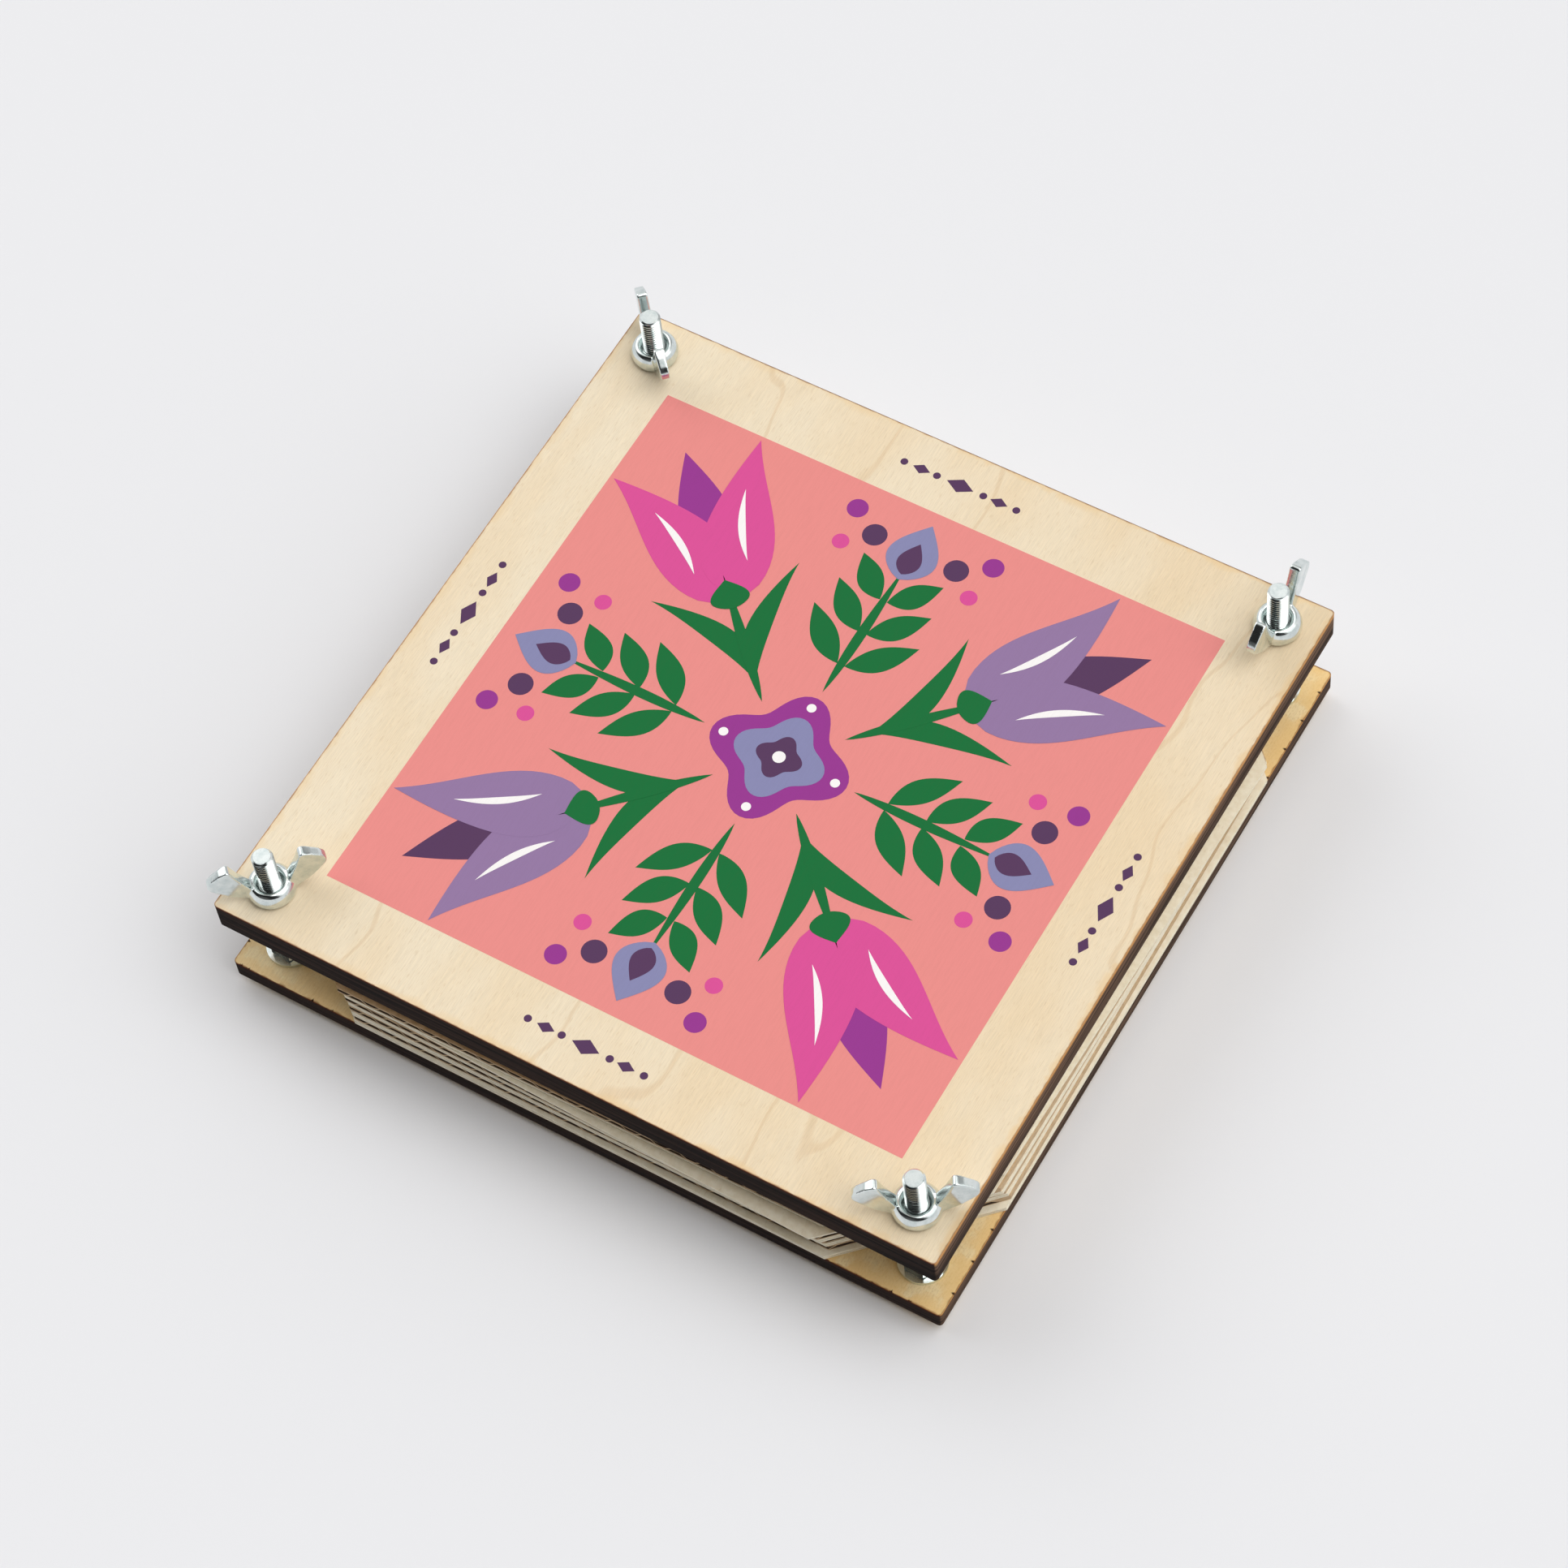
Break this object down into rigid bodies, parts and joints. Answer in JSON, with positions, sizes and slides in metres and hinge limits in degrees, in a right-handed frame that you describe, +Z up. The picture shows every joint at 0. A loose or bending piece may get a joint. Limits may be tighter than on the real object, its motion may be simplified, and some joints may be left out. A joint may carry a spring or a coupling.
{
  "type": "flower press",
  "caption": "Flower press: square wooden boards clamp a stack of corrugated cards and blotting papers, drawn together by corner bolts with wing nuts.",
  "frame": {"origin": "middle of the four bolts, on the surface that the bolt heads stand on", "axes": "+Z up along the bolts, +X along the front edge to the right, +Y from the front edge to the back; the card flutes run along Y"},
  "size_m": [0.1831, 0.1856, 0.048],
  "materials": {
    "top_board_birch": "pale sanded birch plywood with dark laser-cut edges",
    "base_board_birch": "honey-coloured birch plywood with dark laser-cut edges",
    "zinc_steel": "bright zinc-plated steel",
    "kraft_card": "brown corrugated kraft card",
    "blotting_paper": "soft cream blotting paper"
  },
  "bodies": {
    "base": {"base_board": "base_board_birch", "bolt_front_left": "zinc_steel", "bolt_front_right": "zinc_steel", "bolt_back_right": "zinc_steel", "bolt_back_left": "zinc_steel", "base_washer_front_left": "zinc_steel", "base_washer_front_right": "zinc_steel", "base_washer_back_right": "zinc_steel", "base_washer_back_left": "zinc_steel", "base_nut_front_left": "zinc_steel", "base_nut_front_right": "zinc_steel", "base_nut_back_right": "zinc_steel", "base_nut_back_left": "zinc_steel"},
    "leaf_1": {"blotting_paper_1": "blotting_paper", "blotting_paper_2": "blotting_paper", "blotting_paper_3": "blotting_paper", "corrugated_card_1": "kraft_card"},
    "leaf_2": {"blotting_paper_4": "blotting_paper", "blotting_paper_5": "blotting_paper", "blotting_paper_6": "blotting_paper", "corrugated_card_2": "kraft_card"},
    "leaf_3": {"blotting_paper_7": "blotting_paper", "blotting_paper_8": "blotting_paper", "blotting_paper_9": "blotting_paper", "corrugated_card_3": "kraft_card"},
    "leaf_4": {"blotting_paper_10": "blotting_paper", "blotting_paper_11": "blotting_paper", "blotting_paper_12": "blotting_paper", "corrugated_card_4": "kraft_card"},
    "leaf_5": {"blotting_paper_13": "blotting_paper", "blotting_paper_14": "blotting_paper", "blotting_paper_15": "blotting_paper", "corrugated_card_5": "kraft_card"},
    "top": {"top_board": "top_board_birch"},
    "wing_nut_front_left": {"wing_nut_front_left": "zinc_steel"},
    "wing_nut_front_right": {"wing_nut_front_right": "zinc_steel"},
    "wing_nut_back_right": {"wing_nut_back_right": "zinc_steel"},
    "wing_nut_back_left": {"wing_nut_back_left": "zinc_steel"}
  },
  "joints": [
    {"name": "top_board_lift", "type": "slide", "parent": "base", "child": "top", "axis": [0, 0, 1], "range_m": [0, 0.0102]},
    {"name": "wing_nut_front_left_turn", "type": "hinge", "parent": "top", "child": "wing_nut_front_left", "pos_m": [-0.0805, -0.0805, 0.0334], "axis": [0, 0, 1], "range_deg": [0, 4590]},
    {"name": "wing_nut_front_right_turn", "type": "hinge", "parent": "top", "child": "wing_nut_front_right", "pos_m": [0.0805, -0.0805, 0.0334], "axis": [0, 0, 1], "range_deg": [0, 4590]},
    {"name": "wing_nut_back_right_turn", "type": "hinge", "parent": "top", "child": "wing_nut_back_right", "pos_m": [0.0805, 0.0805, 0.0334], "axis": [0, 0, 1], "range_deg": [0, 4590]},
    {"name": "wing_nut_back_left_turn", "type": "hinge", "parent": "top", "child": "wing_nut_back_left", "pos_m": [-0.0805, 0.0805, 0.0334], "axis": [0, 0, 1], "range_deg": [0, 4590]},
    {"name": "leaf_1_lift", "type": "slide", "parent": "base", "child": "leaf_1", "axis": [0, 0, 1], "range_m": [0, 0.0017]},
    {"name": "leaf_2_lift", "type": "slide", "parent": "base", "child": "leaf_2", "axis": [0, 0, 1], "range_m": [0, 0.0034]},
    {"name": "leaf_3_lift", "type": "slide", "parent": "base", "child": "leaf_3", "axis": [0, 0, 1], "range_m": [0, 0.0051]},
    {"name": "leaf_4_lift", "type": "slide", "parent": "base", "child": "leaf_4", "axis": [0, 0, 1], "range_m": [0, 0.0068]},
    {"name": "leaf_5_lift", "type": "slide", "parent": "base", "child": "leaf_5", "axis": [0, 0, 1], "range_m": [0, 0.0085]}
  ],
  "couplings": [
    {"joint": "wing_nut_front_left_turn", "follows": "top_board_lift", "rad_per_m": 7854},
    {"joint": "wing_nut_front_right_turn", "follows": "top_board_lift", "rad_per_m": 7854},
    {"joint": "wing_nut_back_right_turn", "follows": "top_board_lift", "rad_per_m": 7854},
    {"joint": "wing_nut_back_left_turn", "follows": "top_board_lift", "rad_per_m": 7854},
    {"joint": "leaf_1_lift", "follows": "top_board_lift", "ratio": 0.16667},
    {"joint": "leaf_2_lift", "follows": "top_board_lift", "ratio": 0.33333},
    {"joint": "leaf_3_lift", "follows": "top_board_lift", "ratio": 0.5},
    {"joint": "leaf_4_lift", "follows": "top_board_lift", "ratio": 0.66667},
    {"joint": "leaf_5_lift", "follows": "top_board_lift", "ratio": 0.83333}
  ]
}
